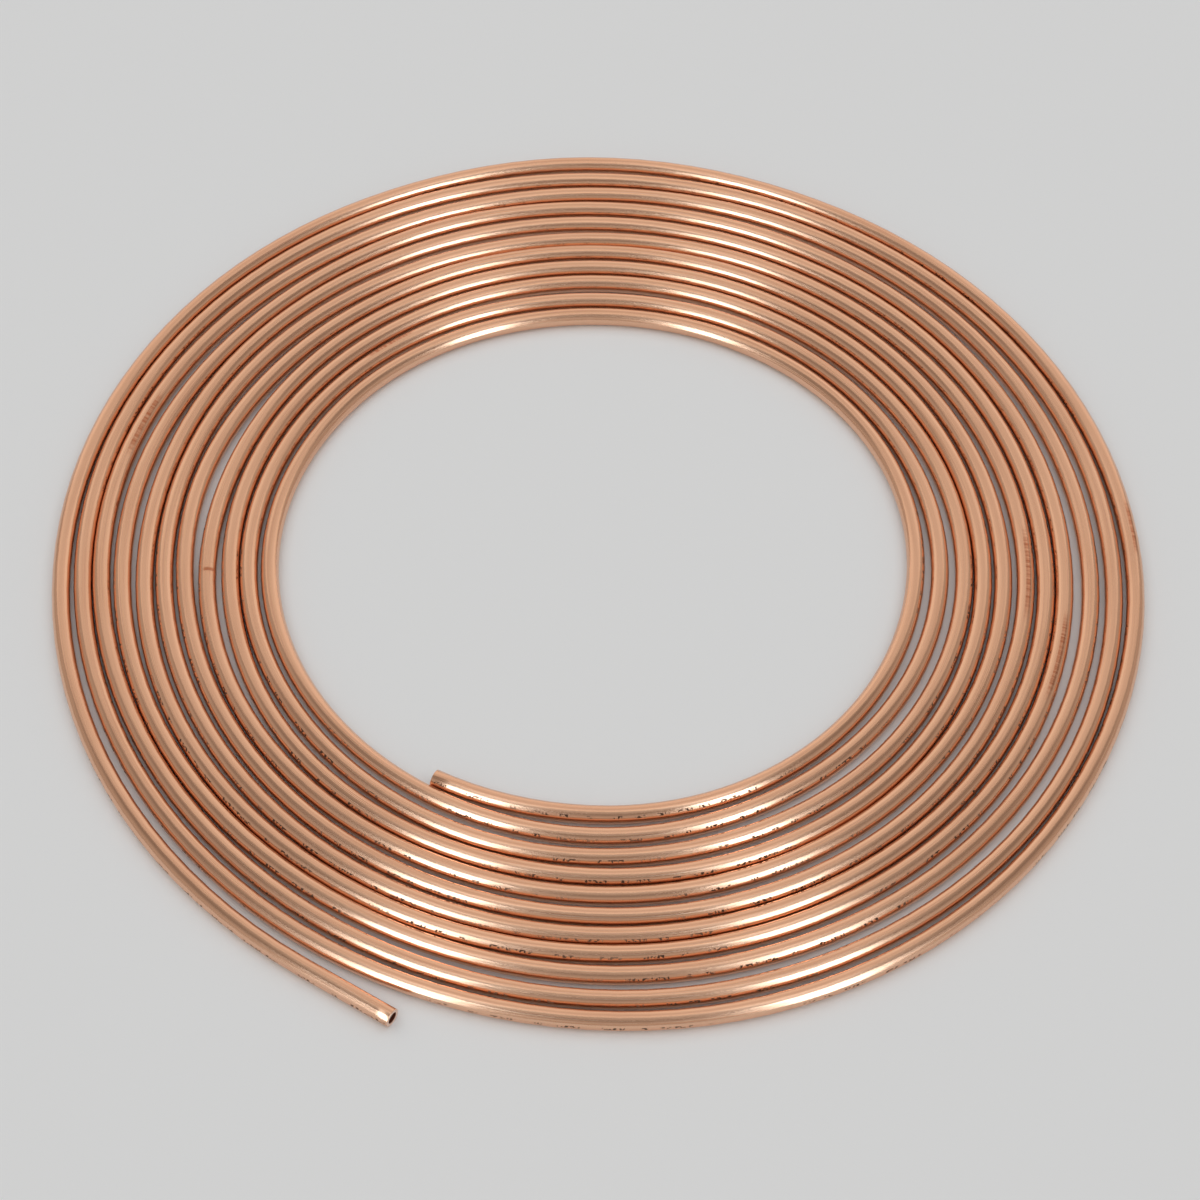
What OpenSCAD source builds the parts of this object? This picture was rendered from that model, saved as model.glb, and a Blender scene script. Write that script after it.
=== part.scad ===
// Flat coil of round copper tube, lying in one layer on the floor.
// One length of tube, wound from its outer end clockwise (seen from above) in to its inner end.
// The winding is a chain of quarter turns that meet where the tube runs along X or Y, each
// with its own radius, so that neighbouring turns touch in places and stand apart in others.
// +Z is up and the origin is on the floor, under the middle of the coil's outline.

/* [Tube] */
// outside diameter of the tube (mm)
tube_od = 4.76; // [4:0.02:6]
// thickness of the tube's wall (mm)
tube_wall = 0.9; // [0.5:0.05:1.4]

/* [Coil] */
// mean radius of the outermost quarter turn, to the middle of the tube (mm)
coil_radius = 141.5; // [110:0.5:180]
// how far the outer turns are out of round, as a change of radius from quarter to quarter (mm)
oval_outer = 3.6; // [0:0.1:5]
// the same for the inner turns (mm)
oval_inner = 1.3; // [0:0.1:3]
// room that each quarter turn leaves before the next turn in, a row a turn, outermost first (mm)
gaps = [
  [0.5, 0.5, 0.5, 0.5],
  [0.5, 0.0, 0.0, 2.0],
  [2.5, 0.5, 1.5, 2.0],
  [0.5, 1.0, 1.5, 0.5],
  [0.0, 0.5, 1.0, 0.5],
  [0.5, 1.0, 0.5, 1.0],
  [1.0, 1.5, 1.5, 0.0],
  [0.5, 1.0, 1.0, 0.5],
  [0.5, 0.0, 1.0, 2.0],
  [2.0, 1.0, 0.5, 1.5],
  [1.5, 2.0, 2.0, 1.5]
];

/* [Ends] */
// how much wider the bend at the outer end is than the turn it leaves, as it springs out (mm)
outer_spring = 12; // [4:0.5:24]
// how far that wider bend runs before the tube goes straight (degrees)
outer_angle = 58; // [30:1:70]
// length of the straight outer end (mm)
straight_length = 26; // [10:1:40]
// how far the inner end runs past its last whole quarter turn (degrees)
inner_angle = 28; // [10:1:60]
// gap between the inner end's tip and the turn that it lies against (mm)
tip_gap = 0.2; // [0.1:0.05:1]

/* [Hidden] */
$fa = 3;
$fs = 0.4;
bore = tube_od - 2 * tube_wall;
last = 4 * len(gaps) - 1;

function gap(k) = gaps[floor(k / 4)][k % 4];
function wound_in(k) = k == 0 ? 0 : wound_in(k - 1) + (tube_od + gap(k - 1)) / 4;
function oval(k) = (k % 2 == 0 ? -1 : 1) * (oval_outer + (oval_inner - oval_outer) * k / last);
// radii are held to a hundredth, so that the quarters' ends meet exactly
radii = [for (k = [0 : last]) round(100 * (coil_radius - wound_in(k) + oval(k))) / 100];

// quarter k starts at joint k: joint 0 is on the coil's -X side, then +Y, +X, -Y and round again
function side(k) = [-cos(90 * k), sin(90 * k)];
function centre(k) = k == 0 ? [0, 0] : centre(k - 1) + (radii[k - 1] - radii[k]) * side(k);
function joint(k) = centre(k) + radii[k] * side(k);

outer_radius = radii[0] + outer_spring;
outer_centre = [outer_spring, 0];
tip = outer_centre - outer_radius * [cos(outer_angle), sin(outer_angle)]
  + straight_length * [sin(outer_angle), -cos(outer_angle)];

// the middle of the outline: its -Y side is the second turn or the outer end's lower edge
lowest = min(joint(3)[1], tip[1] + tube_od / 2 * (1 - sin(outer_angle)));
middle = [(joint(0)[0] + joint(2)[0]) / 2, (lowest + joint(1)[1]) / 2];

// the inner end bends wider than its turn, just enough to bring its tip to the next turn out:
// the tip is at joint + radius * tip_way, and lies tip_reach from the middle of that turn
tip_way = [cos(270 - inner_angle), sin(270 - inner_angle) + 1];
tip_reach = radii[last - 4] - tube_od - tip_gap;
from_middle = joint(last) - centre(last - 4);
half = tip_way * from_middle / (tip_way * tip_way);
rest = (tip_reach * tip_reach - from_middle * from_middle) / (tip_way * tip_way);
inner_radius = floor(100 * (sqrt(half * half + rest) - half)) / 100;

// the tube cut across: a ring
module section() difference() {
  circle(d = tube_od);
  circle(d = bore);
}

module quarter(radius) rotate_extrude(angle = 90) translate([radius, 0]) section();

// the stretch of a quarter turn between two angles, cut square to the tube
module stretch(radius, from, to) difference() {
  quarter(radius);
  if (from > 0) rotate([0, 0, from]) translate([0, -2 * radius, -tube_od])
    cube([2 * radius, 2 * radius, 2 * tube_od]);
  if (to < 90) rotate([0, 0, to]) translate([0, 0, -tube_od])
    cube([2 * radius, 2 * radius, 2 * tube_od]);
}

module outer_end() translate(outer_centre) rotate([0, 0, 180]) {
  stretch(outer_radius, 0, outer_angle);
  rotate([0, 0, outer_angle]) translate([outer_radius, 0, 0]) rotate([-90, 0, 0])
    linear_extrude(straight_length) section();
}

module inner_end() translate(joint(last) + [0, inner_radius]) rotate([0, 0, 180])
  stretch(inner_radius, 90 - inner_angle, 90);

module tube() color("#d29a76") translate([-middle[0], -middle[1], tube_od / 2]) {
  outer_end();
  for (k = [0 : last - 1]) translate(centre(k)) rotate([0, 0, 90 - 90 * k]) quarter(radii[k]);
  inner_end();
}

tube();
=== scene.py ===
import math

import bmesh
import bpy
from mathutils import Matrix, Vector


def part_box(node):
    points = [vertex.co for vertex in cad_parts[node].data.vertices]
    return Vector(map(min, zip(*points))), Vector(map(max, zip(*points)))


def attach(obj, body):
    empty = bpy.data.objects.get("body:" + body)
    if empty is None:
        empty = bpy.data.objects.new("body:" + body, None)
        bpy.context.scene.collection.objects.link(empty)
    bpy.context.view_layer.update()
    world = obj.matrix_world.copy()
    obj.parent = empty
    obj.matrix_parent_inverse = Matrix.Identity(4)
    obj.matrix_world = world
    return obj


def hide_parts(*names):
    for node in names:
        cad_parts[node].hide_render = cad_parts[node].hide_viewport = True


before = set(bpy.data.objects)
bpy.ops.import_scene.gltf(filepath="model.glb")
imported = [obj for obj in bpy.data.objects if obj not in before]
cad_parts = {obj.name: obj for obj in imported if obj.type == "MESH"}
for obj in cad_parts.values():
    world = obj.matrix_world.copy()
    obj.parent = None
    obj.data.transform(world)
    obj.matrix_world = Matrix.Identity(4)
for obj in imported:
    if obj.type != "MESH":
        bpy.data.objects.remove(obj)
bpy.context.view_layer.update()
boxLow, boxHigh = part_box("tube")
print("frame loaded: tube box", [round(v, 4) for v in boxLow], [round(v, 4) for v in boxHigh])

# the tube and how it is wound, in metres; change these together with the construction's own values
coil = {
    "diameter": 0.00476,
    "wall": 0.0009,
    "coilRadius": 0.1415,        # outermost quarter turn, to the middle of the tube
    "ovalOuter": 0.0036,
    "ovalInner": 0.0013,
    "gapStep": 0.0005,           # the gaps below count in these, a row a turn from the outside
    "gaps": (
        (1, 1, 1, 1), (1, 0, 0, 4), (5, 1, 3, 4), (1, 2, 3, 1), (0, 1, 2, 1), (1, 2, 1, 2),
        (2, 3, 3, 0), (1, 2, 2, 1), (1, 0, 2, 4), (4, 2, 1, 3), (3, 4, 4, 3),
    ),
    "outerSpring": 0.012,
    "outerAngle": math.radians(58),
    "straight": 0.026,
    "innerAngle": math.radians(28),
    "tipGap": 0.0002,
    "sides": 40,                 # around the outside
    "boreSides": 20,
    "quarterSteps": 30,          # rings in a quarter turn
    "straightSteps": 7,          # rings on the straight
    "joinWithin": 0.000001,      # stretches are joined where their points are this near
    "rimRound": 0.00012,         # the cut ends' edges
    "rimSteps": 2,
    # where handling has left a turn standing out (+) or in (-), so that it touches one neighbour and
    # shows daylight at the other: turn, degrees round, degrees to each side, millimetres
    "bows": (
        (0, 90, 30, 1.0), (0, -70, 40, 0.8), (0, 165, 45, -0.4), (0, -25, 25, -0.4),
        (1, 205, 60, -0.8), (1, -10, 30, -0.4),
        (2, 220, 65, -1.4), (2, 120, 60, -1.0),
        (3, 240, 40, -0.7), (3, 140, 35, -0.9), (3, -10, 30, -0.5),
        (4, 210, 30, 0.4), (4, 168, 25, -0.4), (4, 35, 40, 0.4),
        (5, 105, 50, -0.8), (5, 15, 40, 0.4), (5, -55, 40, 0.4),
        (6, 170, 25, 0.4), (6, 130, 45, -0.6),
        (7, 208, 45, 0.9), (7, 160, 30, -0.5), (7, -50, 40, 0.4),
        (8, 222, 40, 0.8), (8, 5, 40, 0.5), (8, -75, 40, -0.7),
        (9, 190, 35, 0.3), (9, 92, 45, -0.9), (9, 5, 50, 0.7), (9, -60, 35, -0.5),
        (10, 190, 50, 0.7), (10, 95, 50, -1.0), (10, 20, 45, 0.9),
    ),
}


outside, bore, sawn = range(3)   # the copper's finishes, in the order of the tube's material slots


def sideOf(k):
    # the way from a quarter's centre to where it starts: -X, +Y, +X, -Y and round again
    return Vector(((-1, 0), (0, 1), (1, 0), (0, -1))[k % 4])


def windCoil():
    # every bend from the outer end inwards: centre, radius, start angle and how far it turns clockwise
    last = 4 * len(coil["gaps"]) - 1
    radii = []
    woundIn = 0
    for k in range(last + 1):
        oval = coil["ovalOuter"] + (coil["ovalInner"] - coil["ovalOuter"]) * k / last
        radius = coil["coilRadius"] - woundIn + (oval if k % 2 else -oval)
        radii.append(round(radius, 5))
        woundIn += (coil["diameter"] + coil["gapStep"] * coil["gaps"][k // 4][k % 4]) / 4
    centres = [Vector((0, 0))]
    for k in range(1, last + 1):
        centres.append(centres[-1] + (radii[k - 1] - radii[k]) * sideOf(k))
    joints = [centres[k] + radii[k] * sideOf(k) for k in range(last + 1)]
    # the coil's -X and +Y sides are the box's, which puts it where the construction has it
    half = coil["diameter"] / 2
    shift = Vector((boxLow.x + half - joints[0].x, boxHigh.y - half - joints[1].y))
    centres = [c + shift for c in centres]
    joints = [j + shift for j in joints]
    # the outer end bends wider by the spring, the inner end just enough to reach the next turn out
    outerRadius = radii[0] + coil["outerSpring"]
    tipWay = Vector((-math.sin(coil["innerAngle"]), 1 - math.cos(coil["innerAngle"])))
    tipReach = radii[last - 4] - coil["diameter"] - coil["tipGap"]
    fromMiddle = joints[last] - centres[last - 4]
    partWay = tipWay.dot(fromMiddle) / tipWay.length_squared
    rest = (tipReach ** 2 - fromMiddle.length_squared) / tipWay.length_squared
    innerRadius = math.sqrt(partWay ** 2 + rest) - partWay
    quarter = math.pi / 2
    outerCentre = joints[0] + Vector((outerRadius, 0))
    bends = [(outerCentre, outerRadius, math.pi + coil["outerAngle"], coil["outerAngle"])]
    for k in range(last):
        bends.append((centres[k], radii[k], math.pi - k * quarter, quarter))
    innerCentre = joints[last] + Vector((0, innerRadius))
    bends.append((innerCentre, innerRadius, math.pi - last * quarter, coil["innerAngle"]))
    return bends


def bowAt(middle, heading):
    # how far the tube's middle line is moved there; heading is about how far round the winding is
    angle = math.atan2(middle.y, middle.x)
    angle = math.degrees(angle + 2 * math.pi * round((heading - angle) / (2 * math.pi)))
    out = 0
    for turn, degrees, reach, millimetres in coil["bows"]:
        share = abs(angle - (degrees - 360 * turn)) / reach
        if share < 1:
            out += millimetres / 1000 * (1 + math.cos(math.pi * share)) / 2
    return middle.normalized() * out


def turnsAround(out, up):
    # 0 on the tube's underside, 0.25 on the side towards the coil's middle, 0.5 on top
    return (0.5 + math.atan2(out, up) / (2 * math.pi)) % 1


def layOnSkin(face, uv, placeOf):
    # a face's place on the tube's skin: metres along it, and turns around it
    places = [placeOf(loop.vert.co)[:2] for loop in face.loops]
    turns = [around for along, around in places]
    seam = max(turns) - min(turns) > 0.5
    for loop, (along, around) in zip(face.loops, places):
        loop[uv].uv = (along, around - 1 if seam and around > 0.5 else around)


def drawStretch(whole, ring, steps, centre, turn, advance, placeOf):
    # one wall of a straight or bent stretch of the tube, swept from its ring and added to the whole
    bm = bmesh.new()
    bmesh.ops.create_circle(bm, segments=ring["sides"], radius=ring["radius"], matrix=ring["place"])
    bmesh.ops.spin(
        bm, geom=bm.verts[:] + bm.edges[:], cent=centre, axis=(0, 0, 1), dvec=advance / steps,
        angle=turn, steps=steps, use_duplicate=False)
    uv = bm.loops.layers.uv.new("tubeSkin")
    for face in bm.faces:
        face.material_index = ring["finish"]
        layOnSkin(face, uv, placeOf)
    bows = [bowAt(*placeOf(vert.co)[2:]) for vert in bm.verts]
    for vert, bow in zip(bm.verts, bows):
        vert.co.xy += bow
    stretch = bpy.data.meshes.new("stretch")
    bm.to_mesh(stretch)
    bm.free()
    whole.from_mesh(stretch)
    bpy.data.meshes.remove(stretch)


def drawWall(whole, bends, radius, sides, finish):
    # one wall of the tube, its outside or its bore, from the outer end to the inner one
    height = coil["diameter"] / 2
    quarter = math.pi / 2

    def ringAt(middle, out):
        along = Vector((out.y, -out.x, 0))
        place = Matrix((out, (0, 0, 1), along)).transposed().to_4x4()
        place.translation = middle
        return {"sides": sides, "radius": radius, "finish": finish, "place": place}

    centre, bend, start, turn = bends[0]
    out = Vector((math.cos(start), math.sin(start), 0))
    along = Vector((out.y, -out.x, 0))
    tip = Vector((centre.x, centre.y, height)) + bend * out - coil["straight"] * along

    def onStraight(co):
        reach = (co - tip).dot(along)
        return reach, turnsAround((co - tip).dot(out), co.z - height), (tip + reach * along).xy, start

    drawStretch(
        whole, ringAt(tip, out), coil["straightSteps"], tip, 0, coil["straight"] * along, onStraight)
    reached = coil["straight"]
    for centre, bend, start, turn in bends:
        out = Vector((math.cos(start), math.sin(start), 0))

        def onBend(co):
            away = co.xy - centre
            turned = (start - math.atan2(away.y, away.x) + quarter) % (2 * math.pi) - quarter
            middle = centre + bend * away.normalized()
            around = turnsAround(away.length - bend, co.z - height)
            return reached + bend * turned, around, middle, start - turned

        drawStretch(
            whole, ringAt(Vector((centre.x, centre.y, height)) + bend * out, out),
            max(2, round(coil["quarterSteps"] * turn / quarter)), (centre.x, centre.y, 0), -turn,
            Vector((0, 0, 0)), onBend)
        reached += bend * turn
    return tip, reached


def makeTube():
    bends = windCoil()
    bm = bmesh.new()
    tip, length = drawWall(bm, bends, coil["diameter"] / 2, coil["sides"], outside)
    drawWall(bm, bends, coil["diameter"] / 2 - coil["wall"], coil["boreSides"], bore)
    bmesh.ops.remove_doubles(bm, verts=bm.verts, dist=coil["joinWithin"])
    print("tube wound:", len(bends), "bends,", round(length, 2), "m of tube,", len(bm.verts), "points")
    # close the wall at the outer end and at the inner one, each a flat ring
    ends = {True: [], False: []}
    for edge in bm.edges:
        if edge.is_boundary:
            ends[(edge.verts[0].co - tip).length < coil["diameter"]].append(edge)
    for edges in ends.values():
        filled = bmesh.ops.triangle_fill(bm, edges=edges, use_beauty=True)["geom"]
        for part in filled:
            if isinstance(part, bmesh.types.BMFace):
                part.material_index = sawn
    bmesh.ops.recalc_face_normals(bm, faces=bm.faces)
    bmesh.ops.bevel(
        bm, geom=ends[True] + ends[False], offset=coil["rimRound"], offset_type="OFFSET",
        segments=coil["rimSteps"], profile=0.5, affect="EDGES", material=-1)
    for face in bm.faces:
        face.smooth = True
    mesh = bpy.data.meshes.new("copperTube")
    bm.to_mesh(mesh)
    bm.free()
    tube = bpy.data.objects.new("copperTube", mesh)
    bpy.context.scene.collection.objects.link(tube)
    return tube


tube = makeTube()
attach(tube, "root")
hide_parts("tube")

# the copper's finishes, a material slot each in this order: outside, in the bore and on the sawn ends
finishes = {
    "bareCopper": {
        "clean": (0.86, 0.515, 0.345, 1),
        "dull": (0.60, 0.31, 0.19, 1),
        "dullShare": 0.35,
        "smoothest": 0.17,
        "roughest": 0.28,
        "lineDepth": 0.14,
        "metal": 1,
        "shine": 0.1,            # of whatever isn't metal there, such as the ink
    },
    # inside the bore the colour is kept near black and matt, far darker than the outside of the tube
    "boreCopper": {
        "clean": (0.12, 0.032, 0.016, 1),
        "dull": (0.07, 0.018, 0.009, 1),
        "dullShare": 0.60,
        "smoothest": 0.60,
        "roughest": 0.80,
        "lineDepth": 0.40,
        "metal": 0,
        "shine": 0.05,
    },
    "cutCopper": {
        "clean": (0.90, 0.64, 0.52, 1),
        "dull": (0.72, 0.46, 0.34, 1),
        "dullShare": 0.25,
        "smoothest": 0.40,
        "roughest": 0.52,
        "lineDepth": 0.30,
        "metal": 0.2,
        "shine": 0.5,
    },
}
# an "edge" below is where in the noise a mark begins to show, and where it shows in full
grain = {
    "linesAround": 4.5,          # how fine the draw lines are: a higher number is finer
    "linesAlong": 9.0,           # to the metre
    "lineEdge": (0.50, 0.68),
    "lineDullness": 0.9,         # against a patch's
    "lineHeight": 0.00002,       # metres
    "patchesAround": 0.9,
    "patchesAlong": 22.0,
    "patchEdge": (0.42, 0.75),
    "roughening": 0.4,           # what dullness adds to how rough the lines are
    "roughSpan": (0.35, 0.9),
}
ink = {
    # turns around the tube: on its outward side at the outer end, and higher further in
    "outerMiddle": 0.745,
    "innerMiddle": 0.655,
    "settled": 3.0,              # metres from the outer end
    "twists": 1.6,               # to the metre
    "wander": 0.05,              # how far the line twists to and fro, in turns
    "reach": 0.030,              # of the line to each side, in turns, and the share of it at full strength
    "fullReach": 0.7,
    "ticks": 1250,               # to the metre
    "rows": 16,                  # to the turn
    "tickEdge": (0.48, 0.56),
    "words": 190,                # to the metre
    "wordEdge": (0.48, 0.52),
    "stretches": 14,             # to the metre, where the ink hasn't rubbed off
    "stretchEdge": (0.40, 0.55),
    "left": 0.95,                # how dark it is in those
    "colour": (0.05, 0.022, 0.012, 1),
    "roughness": 0.2,            # more than the copper's
}
scuffs = {
    # rubbed places: metres along the tube, turns around it, and how far each reaches both ways
    "places": (
        (0.61, 0.56, 0.010, 0.05), (1.94, 0.44, 0.013, 0.06), (3.127, 0.54, 0.016, 0.06),
        (4.569, 0.54, 0.017, 0.06), (5.566, 0.46, 0.0008, 0.13), (6.88, 0.55, 0.009, 0.05),
    ),
    "fullReach": 0.5,            # the share of each reach at full strength
    "scratches": 1100,           # to the metre, across the tube
    "scratchEdge": (0.34, 0.66),
    "faintest": 0.35,            # between the scratches
    "colour": (0.50, 0.17, 0.08, 1),
}


def addNode(tree, kind, inputs, **settings):
    # a node with its inputs linked or set
    node = tree.nodes.new("ShaderNode" + kind)
    for name, value in settings.items():
        setattr(node, name, value)
    for socket, value in inputs.items():
        if isinstance(value, bpy.types.NodeSocket):
            tree.links.new(value, node.inputs[socket])
        else:
            node.inputs[socket].default_value = value
    return node


def sums(tree, operation, *values):
    node = addNode(tree, "Math", dict(enumerate(values)), operation=operation)
    return node.outputs["Value"]


def between(tree, value, low, high, start=0.0, end=1.0):
    # value from low to high, mapped smoothly from start to end
    node = addNode(
        tree, "MapRange",
        {"Value": value, "From Min": low, "From Max": high, "To Min": start, "To Max": end},
        interpolation_type="SMOOTHSTEP")
    return node.outputs["Result"]


def mixed(tree, share, first, second):
    node = addNode(tree, "Mix", {"Factor": share, "A": first, "B": second}, data_type="RGBA")
    return node.outputs["Result"]


def skinPlace(tree):
    # metres along the tube and turns around it
    skin = addNode(tree, "UVMap", {}, uv_map="tubeSkin")
    parts = addNode(tree, "SeparateXYZ", {"Vector": skin.outputs["UV"]})
    return parts.outputs["X"], parts.outputs["Y"]


def roundNoise(tree, along, around, alongScale, aroundScale, **look):
    # noise drawn out along the tube, which meets itself where the skin's map does
    angle = sums(tree, "MULTIPLY", around, 2 * math.pi)
    place = addNode(tree, "CombineXYZ", {
        "X": sums(tree, "MULTIPLY", along, alongScale),
        "Y": sums(tree, "MULTIPLY", sums(tree, "COSINE", angle), aroundScale),
        "Z": sums(tree, "MULTIPLY", sums(tree, "SINE", angle), aroundScale),
    })
    noise = addNode(tree, "TexNoise", {"Vector": place.outputs["Vector"], "Scale": 1.0, **look})
    return noise.outputs["Fac"]


def makeGrainGroup():
    # drawn copper: long fine lines from the die, and dull patches where it has been handled
    group = bpy.data.node_groups.new("drawnGrain", "ShaderNodeTree")
    sockets = group.interface
    for name, kind in (
        ("Clean", "NodeSocketColor"), ("Dull", "NodeSocketColor"), ("Dull Share", "NodeSocketFloat"),
        ("Smoothest", "NodeSocketFloat"), ("Roughest", "NodeSocketFloat"),
    ):
        sockets.new_socket(name, in_out="INPUT", socket_type=kind)
    for name, kind in (
        ("Colour", "NodeSocketColor"), ("Roughness", "NodeSocketFloat"), ("Height", "NodeSocketFloat"),
    ):
        sockets.new_socket(name, in_out="OUTPUT", socket_type=kind)
    given = group.nodes.new("NodeGroupInput").outputs
    along, around = skinPlace(group)
    lines = roundNoise(
        group, along, around, grain["linesAlong"], grain["linesAround"], Detail=4.0, Roughness=0.65)
    patches = roundNoise(
        group, along, around, grain["patchesAlong"], grain["patchesAround"], Detail=5.0, Roughness=0.6)
    dullPatches = between(group, patches, *grain["patchEdge"])
    dullLines = between(group, lines, *grain["lineEdge"], 0, grain["lineDullness"])
    dullness = sums(group, "ADD", dullPatches, dullLines)
    share = sums(group, "MULTIPLY", dullness, given["Dull Share"])
    colour = mixed(group, share, given["Clean"], given["Dull"])
    roughFrom, roughTo = grain["roughSpan"]
    roughness = addNode(group, "MapRange", {
        "Value": sums(group, "ADD", lines, sums(group, "MULTIPLY", dullness, grain["roughening"])),
        "From Min": roughFrom, "From Max": roughTo,
        "To Min": given["Smoothest"], "To Max": given["Roughest"],
    })
    result = group.nodes.new("NodeGroupOutput").inputs
    group.links.new(colour, result["Colour"])
    group.links.new(roughness.outputs["Result"], result["Roughness"])
    group.links.new(lines, result["Height"])
    return group


def lineNoise(tree, along, scale, **look):
    # noise that changes along the tube only
    noise = addNode(
        tree, "TexNoise", {"W": sums(tree, "MULTIPLY", along, scale), "Scale": 1.0, **look},
        noise_dimensions="1D")
    return noise.outputs["Fac"]


def window(tree, away, reach, fullReach):
    # 1 up to the full reach's share of the reach from the middle, fading to 0 at the reach
    return between(tree, sums(tree, "ABSOLUTE", away), reach * fullReach, reach, 1.0, 0.0)


def inkMask(tree, along, around):
    # a worn line of plain tick marks along the outward side, which spells nothing
    middle = between(tree, along, 0, ink["settled"], ink["outerMiddle"], ink["innerMiddle"])
    twist = sums(tree, "SUBTRACT", lineNoise(tree, along, ink["twists"], Detail=0.0), 0.5)
    offset = sums(tree, "MULTIPLY", twist, ink["wander"])
    fromMiddle = sums(tree, "SUBTRACT", sums(tree, "SUBTRACT", around, middle), offset)
    band = window(tree, fromMiddle, ink["reach"], ink["fullReach"])
    place = addNode(tree, "CombineXYZ", {
        "X": sums(tree, "MULTIPLY", along, ink["ticks"]),
        "Y": sums(tree, "MULTIPLY", fromMiddle, ink["rows"]),
    })
    tickNoise = addNode(
        tree, "TexNoise", {"Vector": place.outputs["Vector"], "Scale": 1.0, "Detail": 1.0},
        noise_dimensions="2D")
    ticks = between(tree, tickNoise.outputs["Fac"], *ink["tickEdge"])
    words = between(tree, lineNoise(tree, along, ink["words"], Detail=0.0), *ink["wordEdge"])
    marks = sums(tree, "MULTIPLY", words, ticks)
    stretchNoise = lineNoise(tree, along, ink["stretches"], Detail=1.0)
    stretches = between(tree, stretchNoise, *ink["stretchEdge"], 0, ink["left"])
    return sums(tree, "MULTIPLY", sums(tree, "MULTIPLY", band, marks), stretches)


def scuffMask(tree, along, around):
    # short scratches across the tube, in the few places where it has been rubbed
    rubbed = 0.0
    for metres, turns, alongReach, aroundReach in scuffs["places"]:
        alongAway = sums(tree, "SUBTRACT", along, metres)
        aroundAway = sums(tree, "SUBTRACT", around, turns)
        place = sums(
            tree, "MULTIPLY", window(tree, alongAway, alongReach, scuffs["fullReach"]),
            window(tree, aroundAway, aroundReach, scuffs["fullReach"]))
        rubbed = sums(tree, "ADD", rubbed, place)
    scratchNoise = lineNoise(tree, along, scuffs["scratches"], Detail=3.0, Roughness=0.7)
    scratches = between(tree, scratchNoise, *scuffs["scratchEdge"], scuffs["faintest"], 1.0)
    return sums(tree, "MULTIPLY", rubbed, scratches)


def makeFinish(name, grainGroup):
    look = finishes[name]
    material = bpy.data.materials.new(name)
    material.use_nodes = True
    tree = material.node_tree
    shader = tree.nodes["Principled BSDF"]
    shader.inputs["Metallic"].default_value = look["metal"]
    shader.inputs["Specular IOR Level"].default_value = look["shine"]
    drawn = tree.nodes.new("ShaderNodeGroup")
    drawn.node_tree = grainGroup
    for socket, value in (
        ("Clean", look["clean"]), ("Dull", look["dull"]), ("Dull Share", look["dullShare"]),
        ("Smoothest", look["smoothest"]), ("Roughest", look["roughest"]),
    ):
        drawn.inputs[socket].default_value = value
    colour, roughness = drawn.outputs["Colour"], drawn.outputs["Roughness"]
    if name == "bareCopper":
        along, around = skinPlace(tree)
        colour = mixed(tree, scuffMask(tree, along, around), colour, scuffs["colour"])
        inked = inkMask(tree, along, around)
        roughness = sums(tree, "ADD", roughness, sums(tree, "MULTIPLY", inked, ink["roughness"]))
        colour = mixed(tree, inked, colour, ink["colour"])
        tree.links.new(sums(tree, "SUBTRACT", 1.0, inked), shader.inputs["Metallic"])
    bump = addNode(tree, "Bump", {
        "Strength": look["lineDepth"], "Distance": grain["lineHeight"], "Height": drawn.outputs["Height"]})
    tree.links.new(colour, shader.inputs["Base Color"])
    tree.links.new(roughness, shader.inputs["Roughness"])
    tree.links.new(bump.outputs["Normal"], shader.inputs["Normal"])
    return material


grainGroup = makeGrainGroup()
for name in finishes:
    tube.data.materials.append(makeFinish(name, grainGroup))
print("finishes made:", ", ".join(finishes))

studio = {
    "elevation": math.radians(53.6),
    "distance": 0.803,
    "aim": (0.0008, -0.0146, 0),
    "lens": 92.2,                # millimetres, as is the sensor's width
    "sensor": 36,
    "floor": 3.0,                # from its middle to its sides
    "floorColour": (0.84, 0.87, 0.90, 1),
    "floorRoughness": 0.7,
    # the walls and ceiling, from straight down to straight up: elevation and colour
    "walls": (
        (-90, (0.07, 0.035, 0.028)), (-45, (0.09, 0.048, 0.038)), (-30, (0.15, 0.10, 0.085)),
        (-15, (0.27, 0.22, 0.19)), (0, (0.40, 0.36, 0.33)), (12, (0.46, 0.42, 0.38)),
        (28, (0.47, 0.43, 0.39)), (40, (0.37, 0.335, 0.305)), (52, (0.25, 0.22, 0.195)),
        (62, (0.28, 0.25, 0.225)), (72, (0.43, 0.41, 0.38)), (90, (0.46, 0.44, 0.41)),
    ),
}


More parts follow.
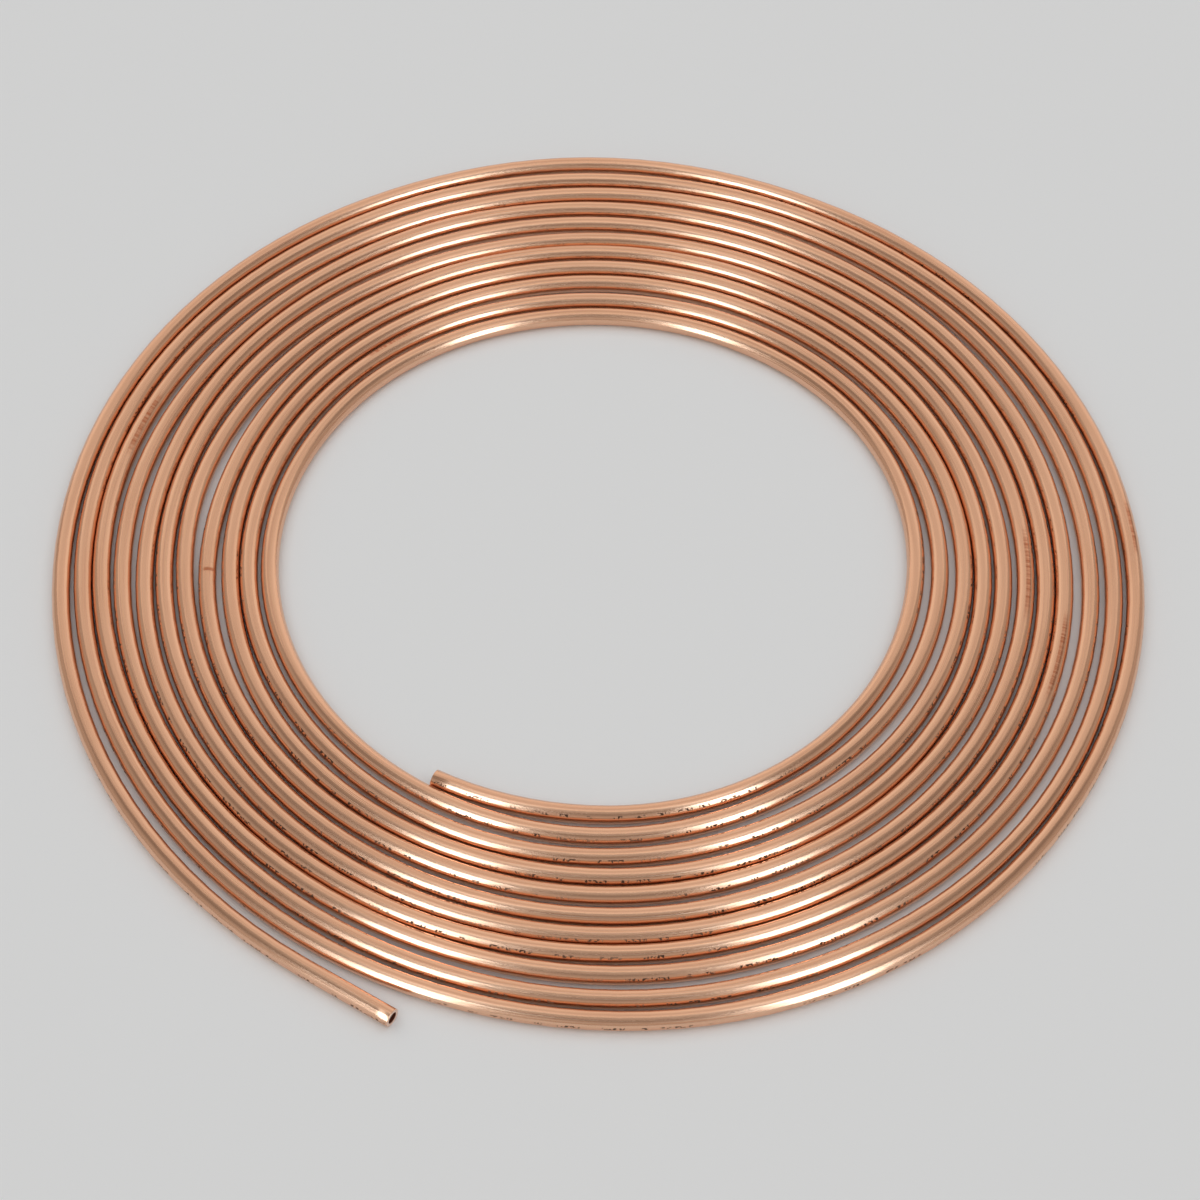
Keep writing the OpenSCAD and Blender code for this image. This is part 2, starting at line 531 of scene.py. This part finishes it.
def makeStudio():
    scene = bpy.context.scene
    scene.view_settings.view_transform = "Standard"
    world = bpy.data.worlds.new("studio")
    world.use_nodes = True
    tree = world.node_tree
    way = addNode(tree, "TexCoord", {})
    height = addNode(tree, "SeparateXYZ", {"Vector": way.outputs["Generated"]})
    share = addNode(tree, "MapRange", {"Value": height.outputs["Z"], "From Min": -1.0, "From Max": 1.0})
    ramp = addNode(tree, "ValToRGB", {"Fac": share.outputs["Result"]})
    stops = ramp.color_ramp.elements     # a new ramp has two
    for number, (elevation, colour) in enumerate(studio["walls"]):
        stop = stops[number] if number < 2 else stops.new(1)
        stop.position = (math.sin(math.radians(elevation)) + 1) / 2
        stop.color = (*colour, 1)
    tree.links.new(ramp.outputs["Color"], tree.nodes["Background"].inputs["Color"])
    scene.world = world
    bm = bmesh.new()
    bmesh.ops.create_grid(bm, x_segments=1, y_segments=1, size=studio["floor"])
    floorMesh = bpy.data.meshes.new("floor")
    bm.to_mesh(floorMesh)
    bm.free()
    floor = bpy.data.objects.new("floor", floorMesh)
    scene.collection.objects.link(floor)
    paint = bpy.data.materials.new("floorPaper")
    paint.use_nodes = True
    shader = paint.node_tree.nodes["Principled BSDF"]
    shader.inputs["Base Color"].default_value = studio["floorColour"]
    shader.inputs["Roughness"].default_value = studio["floorRoughness"]
    shader.inputs["Specular IOR Level"].default_value = 0
    floorMesh.materials.append(paint)
    aim = Vector(studio["aim"])
    back = Vector((0, -math.cos(studio["elevation"]), math.sin(studio["elevation"])))
    lens = bpy.data.cameras.new("camera")
    lens.lens = studio["lens"]
    lens.sensor_width = studio["sensor"]
    camera = bpy.data.objects.new("camera", lens)
    camera.location = aim + back * studio["distance"]
    camera.rotation_euler = (-back).to_track_quat("-Z", "Y").to_euler()
    scene.collection.objects.link(camera)
    scene.camera = camera
    return scene


softboxes = {
    # the two ends of each one's middle line, its width, how bright it looks, its colour and what it
    # lights: the floor and anything matt is left to the roof, so that it stays even
    "backPanel": ((0, 1.0, -0.32), (0, 0.45, 1.1), 1.8, 0.42, (1.0, 0.94, 0.87), "metal"),
    "overhead": ((0, 0.0, 1.0), (0, 0.40, 1.0), 0.56, 0.46, (1.0, 0.94, 0.87), "metal"),
    "stripLeft": ((-0.535, -0.85, -0.14), (-0.38, -0.45, 0.81), 0.22, 5.2, (0.72, 0.89, 1.0), "metal"),
    "stripRight": ((0.535, -0.85, -0.14), (0.38, -0.45, 0.81), 0.22, 5.2, (0.72, 0.89, 1.0), "metal"),
    "tailLeft": ((-0.38, -0.45, 0.81), (-0.17, 0.06, 0.985), 0.20, 0.80, (0.78, 0.91, 1.0), "metal"),
    "tailRight": ((0.38, -0.45, 0.81), (0.17, 0.06, 0.985), 0.20, 0.80, (0.78, 0.91, 1.0), "metal"),
    "roof": ((0, -2.5, 2.5), (0, 2.5, 2.5), 5.0, 0.70, (0.97, 0.99, 1.0), "floor"),
}


def hangSoftboxes(scene):
    for name, (low, high, width, brightness, colour, lit) in softboxes.items():
        low, high = Vector(low), Vector(high)
        middle = (low + high) / 2
        length = (high - low).length
        light = bpy.data.lights.new(name, "AREA")
        light.shape = "RECTANGLE"
        light.size = width
        light.size_y = length
        light.energy = brightness * math.pi * width * length
        light.color = colour
        box = bpy.data.objects.new(name, light)
        tall = (high - low) / length
        away = (middle - middle.dot(tall) * tall).normalized()
        turned = Matrix((tall.cross(away), tall, away)).transposed().to_4x4()
        box.matrix_world = Matrix.Translation(middle) @ turned
        box.visible_camera = False
        box.visible_diffuse = lit == "floor"
        box.visible_glossy = lit == "metal"
        scene.collection.objects.link(box)


scene = makeStudio()
hangSoftboxes(scene)
print("studio lit:", ", ".join(softboxes))
